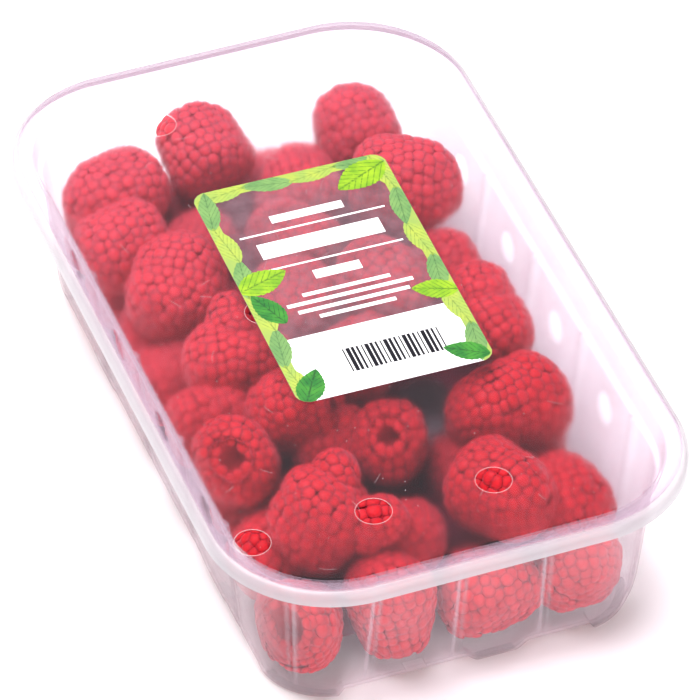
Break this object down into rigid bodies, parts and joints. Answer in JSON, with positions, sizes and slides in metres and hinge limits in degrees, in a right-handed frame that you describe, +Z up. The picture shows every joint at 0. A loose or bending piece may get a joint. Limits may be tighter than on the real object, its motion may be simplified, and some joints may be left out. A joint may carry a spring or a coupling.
{
  "type": "punnet of raspberries",
  "caption": "Clear plastic punnet with a rolled rim and vents, a sealed lid film with a label, and raspberries inside.",
  "frame": {"origin": "on the ground under the middle of the tray's rim", "axes": "+X along the short side, +Y along the long side towards the far end, +Z up"},
  "size_m": [0.115, 0.19, 0.0457],
  "materials": {
    "clear_plastic": "thin clear moulded plastic, glossy, with a faint milky haze and soft highlights along the rolled rim",
    "raspberry": "soft red fruit skin over small round drupelets, faintly downy, darker in the gaps",
    "lid_film": "thin clear lid film with a light haze and fine specks, punched with small round holes",
    "printed_label": "part see-through plastic label with a leafy green border, white bars and a white panel"
  },
  "bodies": {
    "root": {"tray": "clear_plastic", "raspberries": "raspberry", "lid_film": "lid_film", "label": "printed_label"}
  },
  "joints": []
}
